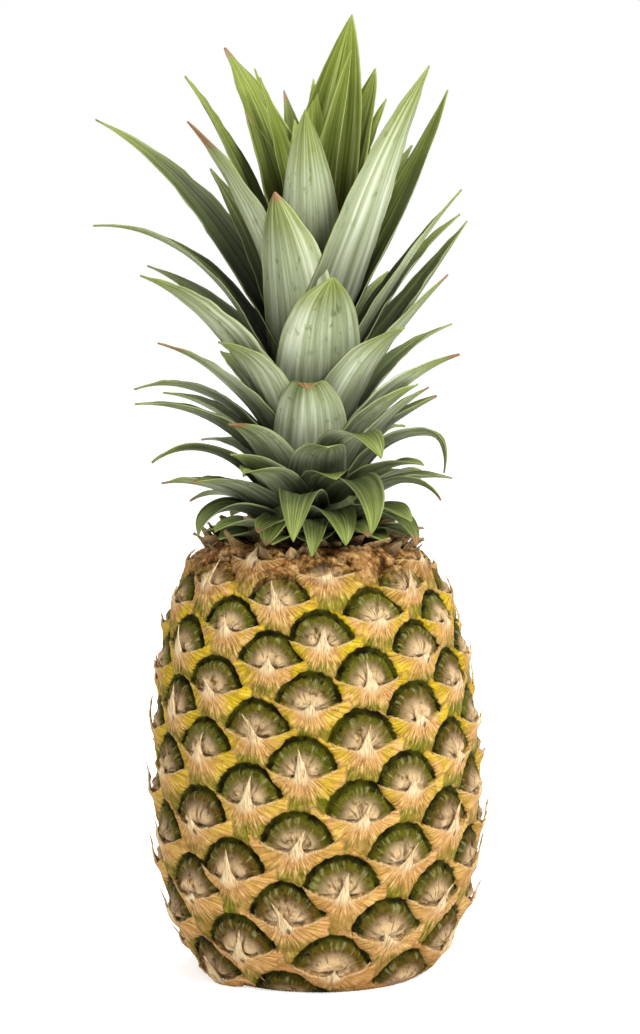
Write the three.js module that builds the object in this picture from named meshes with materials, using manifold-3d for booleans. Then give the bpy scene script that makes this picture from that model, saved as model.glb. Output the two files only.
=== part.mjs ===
// A fresh pineapple with its leafy crown, standing on its cut base.
// Millimetres, +Z up. The origin is the centre of the resting face, and the front looks along -Y.
// Turns are degrees about +Z, 0 at the front and growing towards +X.
import * as THREE from "three";
import { mergeVertices } from "three/addons/utils/BufferGeometryUtils.js";
import Module from "manifold-3d";

const wasm = await Module();
wasm.setup();

// The fruit's outline below its eyes, as radius and height, from the resting edge to the crown's seat.
const outlinePoints = [
  [38.5, 0],
  [45.6, 13],
  [51.4, 27],
  [54.8, 46],
  [55.8, 68],
  [55, 90],
  [53, 110],
  [49.8, 127],
  [45, 140],
  [40, 148.5],
  [33.6, 153.6],
  [26, 156],
];
const fruitHeight = 156;
const topLean = { shift: -2.4, from: 60, to: 150 };

// Eyes sit on one spiral, each with its share of the skin in square millimetres. Two rows cross at
// each eye, of every 7th eye and of every 11th, which come round again after these whole turns.
const eyes = {
  divergence: -99.77,
  firstTurn: 83,
  lowShare: 597,
  topShare: 331,
  usualShare: 450,
  jitterTurn: 2.2,
  jitterClimb: 1.2,
  stepsPerEye: 4,
};
const rowA = 7;
const rowB = 11;
const wholeTurns = { rowA: 2, rowB: 3 };

// One eye of the usual share: a domed shield, and from its foot down the bract, whose tip stands up
// over the shield.
const shield = { foot: -6, halfWidth: 10.8, height: 12.5, dome: 4.1, steepness: 4 };
const bract = { ridge: 4.5, fall: 0.28, spread: 0.2 };
const tip = { reach: 5, proud: 6.6, bend: 2.2, from: 7, to: 8 };

// The skin's net goes on past the first and last eye by this many, and its relief fades in over the
// first millimetres from the resting edge and out before the seat.
const net = { below: 6, above: 5, fadeIn: 7, fadeOut: 6 };

// Withered bracts round the crown's seat, and dry flaps round the resting edge.
const collar = {
  count: 24,
  radius: 28,
  height: 150,
  length: 12,
  width: 11,
  lean: 50,
  droop: 40,
  bluntness: 1.6,
};
const flaps = {
  count: 9,
  radius: 35.5,
  height: 0.6,
  length: 21,
  width: 20,
  lean: 58,
  droop: -34,
  bluntness: 3,
};

// The cut stalk ends flush with the base, in a round hole a little larger than itself.
const stalk = { radius: 14, depth: 8, gap: 0.4, sides: 28 };

// The crown's stem, as radius and height above its seat, and its blades.
const crownSeat = fruitHeight + 0.4;
const stemOutline = [
  [0, 0],
  [21, 0],
  [20, 6],
  [17.5, 18],
  [14.5, 40],
  [11, 64],
  [7, 88],
  [3, 101],
  [0, 104],
];
const stemSides = 12;
const blade = { thickness: 1.9, tipThickness: 0.7, sunk: 4, channel: 0.2, tipChannel: 0.1, bending: 1.6 };

// A blade keeps nearly all its width to a blunter or sharper end, as it is broad or narrow.
const bladeOutline = {
  rootWidth: 1.04,
  tipWidth: 1,
  bluntest: 4.2,
  sharpest: 2.1,
  square: 6.4,
  narrowing: 0.95,
};

// Broad leaves have more faces across, and long ones more along.
const leafFaces = { long: 60, alongLong: 6, alongShort: 4, broad: 26, acrossBroad: 4, acrossNarrow: 2 };

// Leaves seen from the front, from the lowest up: turn, rise above the seat, length, width, lean from
// upright at the root, how much further the tip leans, and twist.
const frontLeaves = [
  [0, 4, 35, 11, 58, 120, 0],
  [-46, 3, 32, 14, 66, 50, 0],
  [27, 3, 29, 14, 64, 60, 0],
  [60, 4, 33, 15, 54, 127, 0],
  [-24, 4, 29, 14, 62, 62, 0],
  [-66, 6, 34, 17, 53, 124, 0],
  [-88, 9, 41, 15, 57, 46, 8],
  [76, 9, 39, 13, 38, 116, -12],
  [-6, 9, 52, 16, 52, 120, 0],
  [24, 12, 52, 16, 44, 155, 0],
  [12, 14, 31, 17, 42, 70, 0],
  [-82, 14, 51, 17, 37, 97, 8],
  [92, 12, 38, 13, 57, 48, 0],
  [-40, 15, 34, 18, 45, 34, 0],
  [78, 17, 55, 17, 29, 123, -8],
  [27, 19, 52, 18, 28, 120, 0],
  [-44, 18, 41, 21, 29, 56, 0],
  [-4, 22, 44, 26, 12, 34, 0],
  [84, 25, 42, 18, 35, 27, 0],
  [-78, 24, 59, 17, 44, 54, 0],
  [-92, 28, 62, 17, 35, 79, 8],
  [64, 30, 40, 18, 40, 22, 0],
  [-72, 32, 61, 19, 33, 44, 0],
  [72, 31, 57, 20, 37, 36, -8],
  [42, 35, 57, 22, 22, 50, 0],
  [-48, 30, 55, 22, 16, 58, 6],
  [100, 30, 40, 14, 54, 14, 0],
  [-64, 36, 83, 26, 26, 47, 8],
  [14, 42, 59, 30, 15, 30, 0],
  [-120, 46, 80, 21, 36, 38, 0],
  [-108, 49, 104, 18, 23, 74, 8],
  [84, 45, 63, 20, 34, 11, 0],
  [112, 47, 84, 24, 38, 0, -8],
  [100, 56, 83, 18, 29, 14, -8],
  [-24, 54, 73, 28, 10, 18, 0],
  [-128, 63, 132, 24, 35, 35, 0],
  [-66, 62, 96, 26, 13, 32, 0],
  [50, 66, 111, 28, 21, 10, 0],
  [122, 68, 106, 24, 33, -10, 0],
  [-122, 84, 73, 21, 16, 12, 0],
  [-4, 80, 74, 22, 7, 14, 0],
  [-142, 86, 103, 25, 15, 35, 0],
  [-162, 90, 63, 15, 11, 21, 0],
  [120, 88, 65, 16, 29, -10, 0],
  [138, 90, 84, 24, 24, -5, 0],
  [158, 92, 104, 28, 20, 8, 0],
  [-24, 5, 28, 14, 56, 120, 0],
  [14, 6, 36, 14, 54, 120, 0],
  [-32, 12, 36, 20, 42, 60, 0],
  [8, 17, 34, 20, 32, 60, 0],
  [58, 14, 38, 18, 44, 60, 0],
  [-58, 10, 38, 18, 52, 50, 0],
  [48, 6, 34, 16, 58, 70, 0],
];

// The leaves behind follow the golden angle up the stem, and change smoothly from rise to rise.
const backLeaves = { count: 80, from: 2.5, to: 97, crowding: 1.35, firstTurn: 40, front: 112 };
const leafByRise = [
  { rise: 4, length: 32, width: 13, lean: 60, droop: 70 },
  { rise: 22, length: 50, width: 15, lean: 50, droop: 46 },
  { rise: 45, length: 76, width: 17, lean: 33, droop: 28 },
  { rise: 66, length: 100, width: 19, lean: 19, droop: 24 },
  { rise: 100, length: 74, width: 14, lean: 8, droop: 14 },
];

// The lowest leaves lie all round over the fruit's top.
const lowest = { count: 11, rise: 1.5, length: 22, width: 16, lean: 76, droop: 34, uneven: 14 };

const goldenAngle = 137.5;
const degrees = Math.PI / 180;

const rindColour = new THREE.MeshStandardMaterial({ color: 0xb08a3c, roughness: 0.7, metalness: 0 });
const leafColour = new THREE.MeshStandardMaterial({ color: 0x6f8058, roughness: 0.55, metalness: 0 });
const stalkColour = new THREE.MeshStandardMaterial({ color: 0xc8ad7a, roughness: 0.85, metalness: 0 });

// The same number between 0 and 1 each time for the same seed.
function draw(seed) {
  const wave = Math.sin(seed * 12.9898 + 4.1414) * 43758.5453;
  return wave - Math.floor(wave);
}

function smoothstep(low, high, value) {
  return THREE.MathUtils.smoothstep(value, low, high);
}

function outward(turn) {
  return new THREE.Vector3(Math.sin(turn * degrees), -Math.cos(turn * degrees), 0);
}

function sideways(turn) {
  return new THREE.Vector3(Math.cos(turn * degrees), Math.sin(turn * degrees), 0);
}

function leanShift(height) {
  return topLean.shift * smoothstep(topLean.from, topLean.to, height);
}

const outline = new THREE.SplineCurve(outlinePoints.map(([r, z]) => new THREE.Vector2(r, z)));
outline.arcLengthDivisions = 600;
const outlineLength = outline.getLength();

// The outline's point and outward normal at a climb, its length from the resting edge. Below 0 it
// runs in the resting plane, and past the end in the seat's plane.
function alongOutline(climb) {
  if (climb < 0) {
    return { r: Math.max(outlinePoints[0][0] + climb, 0), z: 0, nr: 0, nz: -1 };
  }
  if (climb > outlineLength) {
    const over = climb - outlineLength;
    return { r: Math.max(outlinePoints.at(-1)[0] - over, 0), z: fruitHeight, nr: 0, nz: 1 };
  }
  const at = climb / outlineLength;
  const point = outline.getPointAt(at);
  const tangent = outline.getTangentAt(at);
  return { r: point.x, z: point.y, nr: tangent.y, nz: -tangent.x };
}

function shareAt(height) {
  return THREE.MathUtils.lerp(eyes.lowShare, eyes.topShare, height / fruitHeight);
}

// Eyes counted up the outline.
const climbStep = 0.25;
const eyesUpTo = [0];
for (let climb = 0; climb < outlineLength; climb += climbStep) {
  const { r, z } = alongOutline(climb);
  eyesUpTo.push(eyesUpTo.at(-1) + (2 * Math.PI * r * climbStep) / shareAt(z));
}
const eyeCount = Math.floor(eyesUpTo.at(-1));

// The climb of the eye with this number, which may have a fraction.
function climbOf(number) {
  const edgeClimb = climbStep / (eyesUpTo[1] - eyesUpTo[0]);
  if (number <= 0) return number * edgeClimb;
  const last = eyesUpTo.length - 1;
  if (number >= eyesUpTo[last]) {
    return outlineLength + (number - eyesUpTo[last]) * (climbStep / (eyesUpTo[last] - eyesUpTo[last - 1]));
  }
  const above = eyesUpTo.findIndex((count) => count > number);
  const part = (number - eyesUpTo[above - 1]) / (eyesUpTo[above] - eyesUpTo[above - 1]);
  return (above - 1 + part) * climbStep;
}

function jitterOf(number) {
  return {
    turn: (draw(number) * 2 - 1) * eyes.jitterTurn,
    climb: (draw(number + 500) * 2 - 1) * eyes.jitterClimb,
  };
}

// Turn and climb at a place between eyes: a steps along one row and b along the other.
function latticePlace(a, b) {
  const turnA = rowA * eyes.divergence + wholeTurns.rowA * 360;
  const turnB = rowB * eyes.divergence + wholeTurns.rowB * 360;
  const place = {
    turn: eyes.firstTurn + a * turnA + b * turnB,
    climb: climbOf(rowA * a + rowB * b),
  };
  const [a0, b0] = [Math.floor(a), Math.floor(b)];
  for (const [da, db] of [[0, 0], [1, 0], [0, 1], [1, 1]]) {
    const weight = (1 - Math.abs(a - a0 - da)) * (1 - Math.abs(b - b0 - db));
    const jitter = jitterOf(rowA * (a0 + da) + rowB * (b0 + db));
    place.turn += weight * jitter.turn;
    place.climb += weight * jitter.climb;
  }
  return place;
}

// Where each eye is, and its size beside an eye of the usual share.
const eyeList = [];
for (let number = 0; number < eyeCount; number++) {
  const jitter = jitterOf(number);
  const climb = climbOf(number) + jitter.climb;
  const { r, z } = alongOutline(climb);
  const turn = eyes.firstTurn + number * eyes.divergence + jitter.turn;
  eyeList.push({ number, turn, climb, radius: r, scale: Math.sqrt(shareAt(z) / eyes.usualShare) });
}

// One eye's relief at u to its right and v above its middle, both in millimetres.
function eyeRelief(u, v) {
  const above = v - shield.foot;
  const edge = Math.hypot(u / shield.halfWidth, above / shield.height);
  if (above >= 0) return Math.max(shield.dome * (1 - edge ** shield.steepness), 0);
  return Math.max(bract.ridge + bract.fall * above - bract.spread * Math.abs(u), 0);
}

function reliefAt(turn, climb, radius) {
  let height = 0;
  for (const eye of eyeList) {
    const v = (climb - eye.climb) / eye.scale;
    if (Math.abs(v) > 2 * shield.height) continue;
    const across = THREE.MathUtils.euclideanModulo(turn - eye.turn + 180, 360) - 180;
    const u = (across * degrees * radius) / eye.scale;
    if (Math.abs(u) > 2 * shield.halfWidth) continue;
    height = Math.max(height, eyeRelief(u, v) * eye.scale);
  }
  const fadeOut = smoothstep(outlineLength - net.fadeOut, outlineLength, climb);
  return height * smoothstep(0, net.fadeIn, climb) * (1 - fadeOut);
}

// A point on the fruit at a turn and climb, lifted off the outline along its normal.
function onFruit(turn, climb, lift) {
  const { r, z, nr, nz } = alongOutline(climb);
  const height = Math.max(z + nz * lift, 0);
  return outward(turn)
    .multiplyScalar(r + nr * lift)
    .add(new THREE.Vector3(leanShift(z), 0, height));
}

function hasTip(eye) {
  return eye.climb > tip.from && eye.climb < outlineLength - tip.to;
}

// The point of a bract's tip. The net's thread crossing at the eye's middle is drawn out to it, so
// that the faces around it make a spine that stands up and out over the shield.
function bractTip(eye) {
  const bend = ((draw(eye.number + 900) * 2 - 1) * tip.bend) / eye.radius / degrees;
  return onFruit(eye.turn + bend, eye.climb + tip.reach * eye.scale, tip.proud * eye.scale);
}

function geometryOf(points, faces) {
  const geometry = new THREE.BufferGeometry().setFromPoints(points);
  geometry.setIndex(faces.flat());
  return geometry;
}

function solidOf(geometry) {
  const bare = geometry.clone();
  bare.deleteAttribute("normal");
  bare.deleteAttribute("uv");
  const merged = mergeVertices(bare, 1e-4);
  return new wasm.Manifold(
    new wasm.Mesh({
      numProp: 3,
      vertProperties: merged.attributes.position.array,
      triVerts: new Uint32Array(merged.index.array),
    }),
  );
}

function meshOf(name, solid, material) {
  const { vertProperties, triVerts, numProp } = solid.getMesh();
  const geometry = new THREE.BufferGeometry();
  const points = new Float32Array((vertProperties.length / numProp) * 3);
  for (let i = 0; i < points.length / 3; i++) {
    points.set(vertProperties.subarray(i * numProp, i * numProp + 3), i * 3);
  }
  geometry.setAttribute("position", new THREE.BufferAttribute(points, 3));
  geometry.setIndex(new THREE.BufferAttribute(triVerts, 1));
  geometry.computeVertexNormals();
  const mesh = new THREE.Mesh(geometry, material);
  mesh.name = name;
  return mesh;
}

// The fruit's skin: a net whose threads follow the two spiral rows, so that each eye gets the same
// threads, closed at the base and at the seat.
function fruitSkin() {
  const steps = eyes.stepsPerEye;
  const columns = rowB * steps;
  const [firstEye, lastEye] = [-net.below, eyeCount + net.above];
  const points = [];
  const numbers = new Map();
  const keyOf = (a, b) => (a >= columns ? keyOf(a - columns, b + rowA * steps) : `${a},${b}`);
  for (let a = 0; a < columns; a++) {
    const bFrom = Math.ceil((firstEye * steps - rowA * a) / rowB);
    const bTo = Math.floor((lastEye * steps - rowA * a) / rowB);
    for (let b = bFrom; b <= bTo; b++) {
      const { turn, climb } = latticePlace(a / steps, b / steps);
      const { r } = alongOutline(climb);
      const eye = a % steps === 0 && b % steps === 0 && eyeList[(rowA * a + rowB * b) / steps];
      numbers.set(keyOf(a, b), points.length);
      points.push(eye && hasTip(eye) ? bractTip(eye) : onFruit(turn, climb, reliefAt(turn, climb, r)));
    }
  }
  const faces = [];
  for (const key of [...numbers.keys()]) {
    const [a, b] = key.split(",").map(Number);
    const square = [[a, b], [a + 1, b], [a + 1, b + 1], [a, b + 1]];
    const corners = square.map(([i, j]) => numbers.get(keyOf(i, j)));
    if (corners.includes(undefined)) continue;
    faces.push([corners[0], corners[1], corners[2]], [corners[0], corners[2], corners[3]]);
  }
  const edges = new Set(faces.flatMap(([p, q, s]) => [`${p},${q}`, `${q},${s}`, `${s},${p}`]));
  const basePole = points.push(new THREE.Vector3(0, 0, 0)) - 1;
  const seatPole = points.push(new THREE.Vector3(topLean.shift, 0, fruitHeight)) - 1;
  for (const edge of edges) {
    const [p, q] = edge.split(",").map(Number);
    if (edges.has(`${q},${p}`)) continue;
    faces.push([q, p, points[p].z < fruitHeight / 2 ? basePole : seatPole]);
  }
  return solidOf(geometryOf(points, faces));
}

// A leaf: its middle line leaves the root at its lean, and leans further towards the tip. Across, it
// is a channel that opens towards the stem. Its faces meet in sharp margins.
function leafBlade(leaf) {
  const { turn, root, rootRadius, length, width, lean, droop, twist = 0, bluntness, along, across } = leaf;
  const [out, side, up] = [outward(turn), sideways(turn), new THREE.Vector3(0, 0, 1)];
  const middle = out.clone().multiplyScalar(rootRadius).add(root);
  const points = [];
  const rings = [];
  for (let i = 0; i <= along; i++) {
    const t = i / along;
    const tilt = (lean + droop * t ** blade.bending) * degrees;
    const ahead = out.clone().multiplyScalar(Math.sin(tilt)).add(up.clone().multiplyScalar(Math.cos(tilt)));
    const inner = up.clone().multiplyScalar(Math.sin(tilt)).sub(out.clone().multiplyScalar(Math.cos(tilt)));
    const turned = new THREE.Quaternion().setFromAxisAngle(ahead, twist * t * degrees);
    const wide = side.clone().applyQuaternion(turned);
    const face = inner.applyQuaternion(turned);
    if (i === along) {
      rings.push([points.push(middle.clone()) - 1]);
      break;
    }
    const full = bladeWidth(t, bluntness ?? usualBluntness(length / width));
    const halfWidth = (width / 2) * full;
    const hollow = width * THREE.MathUtils.lerp(blade.channel, blade.tipChannel, t) * full;
    const thick = THREE.MathUtils.lerp(blade.thickness, blade.tipThickness, t) / 2;
    const ring = [];
    const place = (s, offset) => {
      const at = middle.clone().add(wide.clone().multiplyScalar(s * halfWidth));
      return points.push(at.add(face.clone().multiplyScalar(hollow * s * s + offset * (1 - s * s)))) - 1;
    };
    for (let j = 0; j < across; j++) ring.push(place((2 * j) / across - 1, -thick));
    for (let j = across; j > 0; j--) ring.push(place((2 * j) / across - 1, thick));
    rings.push(ring);
    middle.add(ahead.multiplyScalar(length / along));
  }
  const faces = [];
  const around = rings[0].length;
  for (let i = 0; i < along; i++) {
    for (let j = 0; j < around; j++) {
      const next = (j + 1) % around;
      const [p, q] = [rings[i][j], rings[i][next]];
      if (i === along - 1) {
        faces.push([p, q, rings[along][0]]);
      } else {
        faces.push([p, q, rings[i + 1][next]], [p, rings[i + 1][next], rings[i + 1][j]]);
      }
    }
  }
  for (let j = 1; j < around / 2; j++) {
    const [low, high] = [rings[0][j], rings[0][around - j]];
    const [lowBack, highBack] = [rings[0][j - 1], rings[0][(around - j + 1) % around]];
    faces.push([low, lowBack, high]);
    if (lowBack !== highBack) faces.push([lowBack, highBack, high]);
  }
  const [far, nearLow, nearHigh] = [rings[0][around / 2], rings[0][around / 2 - 1], rings[0][around / 2 + 1]];
  faces.push([far, nearLow, nearHigh]);
  return solidOf(geometryOf(points, faces));
}

// The width along a blade as a share of its full width: nearly all of it at first, then to a point.
function bladeWidth(t, bluntness) {
  return THREE.MathUtils.lerp(bladeOutline.rootWidth, bladeOutline.tipWidth, t) * (1 - t ** bluntness);
}

function usualBluntness(slenderness) {
  const { square, narrowing, sharpest, bluntest } = bladeOutline;
  return THREE.MathUtils.clamp(square - narrowing * slenderness, sharpest, bluntest);
}

function fruitSolid() {
  const pieces = [fruitSkin()];
  for (let i = 0; i < collar.count; i++) {
    const turn = (i * 360) / collar.count + draw(i + 40) * 8;
    pieces.push(
      leafBlade({
        turn,
        root: new THREE.Vector3(topLean.shift, 0, collar.height),
        rootRadius: collar.radius,
        length: collar.length * (0.8 + 0.5 * draw(i + 70)),
        width: collar.width,
        lean: collar.lean,
        droop: collar.droop * draw(i + 90),
        bluntness: collar.bluntness,
        along: 3,
        across: 2,
      }),
    );
  }
  for (let i = 0; i < flaps.count; i++) {
    const turn = (i * 360) / flaps.count + draw(i + 140) * 20;
    pieces.push(
      leafBlade({
        turn,
        root: new THREE.Vector3(0, 0, flaps.height + blade.thickness),
        rootRadius: flaps.radius,
        length: flaps.length * (0.7 + 0.6 * draw(i + 170)),
        width: flaps.width,
        lean: flaps.lean,
        droop: flaps.droop,
        bluntness: flaps.bluntness,
        along: 3,
        across: 2,
      }),
    );
  }
  const holeRadius = stalk.radius + stalk.gap;
  const hole = new THREE.CylinderGeometry(holeRadius, holeRadius, stalk.depth * 2, stalk.sides);
  hole.rotateX(Math.PI / 2);
  return wasm.Manifold.union(pieces).subtract(solidOf(hole));
}

function stalkSolid() {
  const height = stalk.depth - stalk.gap;
  const stub = new THREE.CylinderGeometry(stalk.radius, stalk.radius, height, stalk.sides);
  stub.rotateX(Math.PI / 2);
  stub.translate(0, 0, height / 2);
  return solidOf(stub);
}

function stemRadius(rise) {
  const above = Math.max(stemOutline.findIndex(([, height]) => height > rise), 2);
  const [[r0, z0], [r1, z1]] = [stemOutline[above - 1], stemOutline[above]];
  return THREE.MathUtils.mapLinear(rise, z0, z1, r0, r1);
}

function crownLeaf([turn, rise, length, width, lean, droop, twist]) {
  return leafBlade({
    turn,
    root: new THREE.Vector3(topLean.shift, 0, crownSeat + rise),
    rootRadius: Math.max(stemRadius(rise) - blade.sunk, 0.5),
    length,
    width,
    lean,
    droop,
    twist,
    along: length > leafFaces.long ? leafFaces.alongLong : leafFaces.alongShort,
    across: width < leafFaces.broad ? leafFaces.acrossNarrow : leafFaces.acrossBroad,
  });
}

function leafAtRise(rise) {
  const above = Math.max(leafByRise.findIndex((row) => row.rise > rise), 1);
  const [low, high] = [leafByRise[above - 1], leafByRise[above]];
  const part = (rise - low.rise) / (high.rise - low.rise);
  const mix = (name) => THREE.MathUtils.lerp(low[name], high[name], part);
  return { length: mix("length"), width: mix("width"), lean: mix("lean"), droop: mix("droop") };
}

function crownSolid() {
  const stem = new THREE.LatheGeometry(stemOutline.map(([r, z]) => new THREE.Vector2(r, z)), stemSides);
  stem.rotateX(Math.PI / 2);
  stem.translate(topLean.shift, 0, crownSeat);
  const pieces = [solidOf(stem)];
  for (let i = 0; i < lowest.count; i++) {
    const turn = (i * 360) / lowest.count + draw(i + 460) * lowest.uneven;
    const { rise, length, width, lean, droop } = lowest;
    pieces.push(crownLeaf([turn, rise, length, width, lean, droop, 0]));
  }
  for (const leaf of frontLeaves) pieces.push(crownLeaf(leaf));
  for (let i = 0; i < backLeaves.count; i++) {
    const turn = THREE.MathUtils.euclideanModulo(backLeaves.firstTurn + i * goldenAngle, 360) - 180;
    if (Math.abs(turn) < backLeaves.front) continue;
    const share = (i / backLeaves.count) ** backLeaves.crowding;
    const rise = THREE.MathUtils.lerp(backLeaves.from, backLeaves.to, share);
    const { length, width, lean, droop } = leafAtRise(rise);
    const longer = 0.9 + 0.2 * draw(i + 300);
    const twist = (draw(i + 330) * 2 - 1) * 12;
    pieces.push(crownLeaf([turn, rise, length * longer, width, lean, droop, twist]));
  }
  return outerShell(wasm.Manifold.union(pieces));
}

// The solid with its closed pockets filled in, such as those between the roots of leaves.
function outerShell(solid) {
  return wasm.Manifold.union(solid.decompose().filter((shell) => shell.volume() > 0));
}

const pineapple = new THREE.Group();
pineapple.add(meshOf("fruit", fruitSolid(), rindColour));
pineapple.add(meshOf("crown", crownSolid(), leafColour));
pineapple.add(meshOf("stalk_stub", stalkSolid(), stalkColour));

export default pineapple;
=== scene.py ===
# A fresh pineapple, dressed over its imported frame. Metres, Z up, the front looks along -Y.
import math

import bpy
import numpy as np
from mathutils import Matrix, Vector


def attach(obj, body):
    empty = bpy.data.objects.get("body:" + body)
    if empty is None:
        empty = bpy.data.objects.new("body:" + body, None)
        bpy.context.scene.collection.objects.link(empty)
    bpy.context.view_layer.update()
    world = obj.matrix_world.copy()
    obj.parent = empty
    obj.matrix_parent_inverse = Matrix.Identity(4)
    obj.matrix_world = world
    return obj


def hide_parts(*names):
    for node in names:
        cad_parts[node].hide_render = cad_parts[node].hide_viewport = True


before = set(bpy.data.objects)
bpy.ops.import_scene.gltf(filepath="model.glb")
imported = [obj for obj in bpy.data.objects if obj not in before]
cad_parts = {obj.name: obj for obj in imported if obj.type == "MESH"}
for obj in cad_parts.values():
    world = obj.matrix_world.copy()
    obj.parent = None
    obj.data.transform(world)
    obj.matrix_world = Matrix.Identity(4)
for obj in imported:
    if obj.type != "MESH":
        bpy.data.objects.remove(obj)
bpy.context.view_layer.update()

mm = 0.001
fullTurn = 6.28


# Camera

camera = {
    "distance": 1.15,
    "elevation": 6,
    "aim": (0.0007, 0, 0.1642),
    "lens": 111.8,
    "sensor": 36,  # along the picture's long side
    "reach": 20,
}


def newObject(name, data):
    made = bpy.data.objects.new(name, data)
    bpy.context.scene.collection.objects.link(made)
    return made


def makeCamera(c):
    rise = math.radians(c["elevation"])
    data = bpy.data.cameras.new("camera")
    data.lens = c["lens"]
    data.sensor_width = c["sensor"]
    data.clip_end = c["reach"]
    obj = newObject("camera", data)
    obj.location = Vector(c["aim"]) + c["distance"] * Vector((0, -math.cos(rise), math.sin(rise)))
    obj.rotation_euler = (math.pi / 2 - rise, 0, 0)
    bpy.context.scene.camera = obj


makeCamera(camera)
print("camera set")


# Numbers shared by the pieces

def draw(seed):
    # the same number between 0 and 1 for the same seed, as in the frame's solids
    wave = np.sin(np.asarray(seed, float) * 12.9898 + 4.1414) * 43758.5453
    return wave - np.floor(wave)


def ease(low, high, value):
    t = np.clip((value - low) / (high - low), 0, 1)
    return t * t * (3 - 2 * t)


def mix(a, b, t):
    return a + (b - a) * t


def within(seed, limits):
    # a seeded number between two limits
    return mix(*limits, draw(seed))


def hump(value, middle, width):
    return np.exp(-((value - middle) / width) ** 2)


def wobble(seed, *coords):
    # smooth noise about -1 to 1: a few waves whose directions and phases come from the seed
    waves, total = 4, 0
    for k in range(waves):
        first = seed + 7 * k
        phase = sum(c * within(first + i, (-1, 1)) for i, c in enumerate(coords))
        total = total + np.sin(phase * (1 + 0.6 * k) + fullTurn * draw(first + 5)) / (1 + 0.5 * k)
    return total / 2.2


# The fruit's outline and its spiral of eyes, in millimetres and degrees as in the frame

fruit = {
    "outline": [
        (38.5, 0), (45.6, 13), (51.4, 27), (54.8, 46), (55.8, 68), (55, 90),
        (53, 110), (49.8, 127), (45, 140), (40, 148.5), (33.6, 153.6), (26, 156),
    ],
    "curveSteps": 80,  # between two points of the outline
    "climbStep": 0.25,  # of the table that counts the eyes
    "height": 156,
    "lean": {"shift": -2.4, "from": 60, "to": 150},
}

eyes = {
    "divergence": -99.77,
    "firstTurn": 83,
    "lowShare": 597,
    "topShare": 331,
    "usualShare": 450,
    "jitterTurn": 2.2,
    "jitterClimb": 1.2,
    "rowA": 7,
    "rowB": 11,
    "wholeTurnsA": 2,
    "wholeTurnsB": 3,
}


def splineThrough(points, steps):
    # the curve through the points that the frame's outline follows
    p = np.array([points[0], *points, points[-1]], float)
    t = np.linspace(0, 1, steps, endpoint=False)[:, None]
    pieces = []
    for i in range(1, len(p) - 2):
        before, start, end, after = p[i - 1], p[i], p[i + 1], p[i + 2]
        leave, arrive = (end - before) / 2, (after - start) / 2
        cubic = (2 * start - 2 * end + leave + arrive) * t**3
        square = (-3 * start + 3 * end - 2 * leave - arrive) * t**2
        pieces.append(cubic + square + leave * t + start)
    return np.vstack([*pieces, p[-1:]])


outlineCurve = splineThrough(fruit["outline"], fruit["curveSteps"])
outlineClimb = np.concatenate([[0], np.cumsum(np.hypot(*np.diff(outlineCurve, axis=0).T))])
outlineSlope = np.gradient(outlineCurve, outlineClimb, axis=0)
outlineLength = outlineClimb[-1]


def leanShift(z):
    lean = fruit["lean"]
    return lean["shift"] * ease(lean["from"], lean["to"], z)


def alongOutline(climb):
    # radius, height and outward normal at a climb; it runs flat below the edge and past the seat
    climb = np.asarray(climb, float)
    inside = np.clip(climb, 0, outlineLength)
    r = np.interp(inside, outlineClimb, outlineCurve[:, 0])
    z = np.interp(inside, outlineClimb, outlineCurve[:, 1])
    nr = np.interp(inside, outlineClimb, outlineSlope[:, 1])
    nz = -np.interp(inside, outlineClimb, outlineSlope[:, 0])
    r = np.where(climb < 0, np.maximum(r + climb, 0), r)
    r = np.where(climb > outlineLength, np.maximum(r - (climb - outlineLength), 0), r)
    flat = (climb < 0) | (climb > outlineLength)
    nr = np.where(flat, 0, nr)
    nz = np.where(flat, np.where(climb < 0, -1, 1), nz)
    size = np.hypot(nr, nz)
    return r, z, nr / size, nz / size


def shareAt(z):
    return mix(eyes["lowShare"], eyes["topShare"], z / fruit["height"])


climbStep = fruit["climbStep"]
climbGrid = np.arange(0, outlineLength + climbStep, climbStep)
gridR, gridZ, _, _ = alongOutline(climbGrid)
eyesUpTo = np.concatenate([[0], np.cumsum(2 * math.pi * gridR * climbStep / shareAt(gridZ))[:-1]])
eyeCount = int(eyesUpTo[-1])


def climbOf(number):
    low = number * climbGrid[1] / eyesUpTo[1]
    past = number - eyesUpTo[-1]
    high = climbGrid[-1] + past * (climbGrid[-1] - climbGrid[-2]) / (eyesUpTo[-1] - eyesUpTo[-2])
    between = np.interp(number, eyesUpTo, climbGrid)
    return np.where(number < 0, low, np.where(past > 0, high, between))


def eyeJitter(number):
    # how far the eye sits off its place in the spiral, round the fruit and up it
    turnBy, climbBy = eyes["jitterTurn"], eyes["jitterClimb"]
    return within(number, (-turnBy, turnBy)), within(number + 500, (-climbBy, climbBy))


def eyeSize(climb):
    return np.sqrt(shareAt(alongOutline(climb)[1]) / eyes["usualShare"])


turnA = eyes["rowA"] * eyes["divergence"] + eyes["wholeTurnsA"] * 360
turnB = eyes["rowB"] * eyes["divergence"] + eyes["wholeTurnsB"] * 360


def latticePlace(a, b):
    # turn and climb of a point counted in steps along the two spiral rows
    turn = eyes["firstTurn"] + a * turnA + b * turnB
    climb = climbOf(eyes["rowA"] * a + eyes["rowB"] * b)
    for da in (0, 1):
        for db in (0, 1):
            i, j = np.floor(a) + da, np.floor(b) + db
            weight = (1 - np.abs(a - i)) * (1 - np.abs(b - j))
            turnOff, climbOff = eyeJitter(eyes["rowA"] * i + eyes["rowB"] * j)
            turn = turn + weight * turnOff
            climb = climb + weight * climbOff
    return turn, climb


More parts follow.
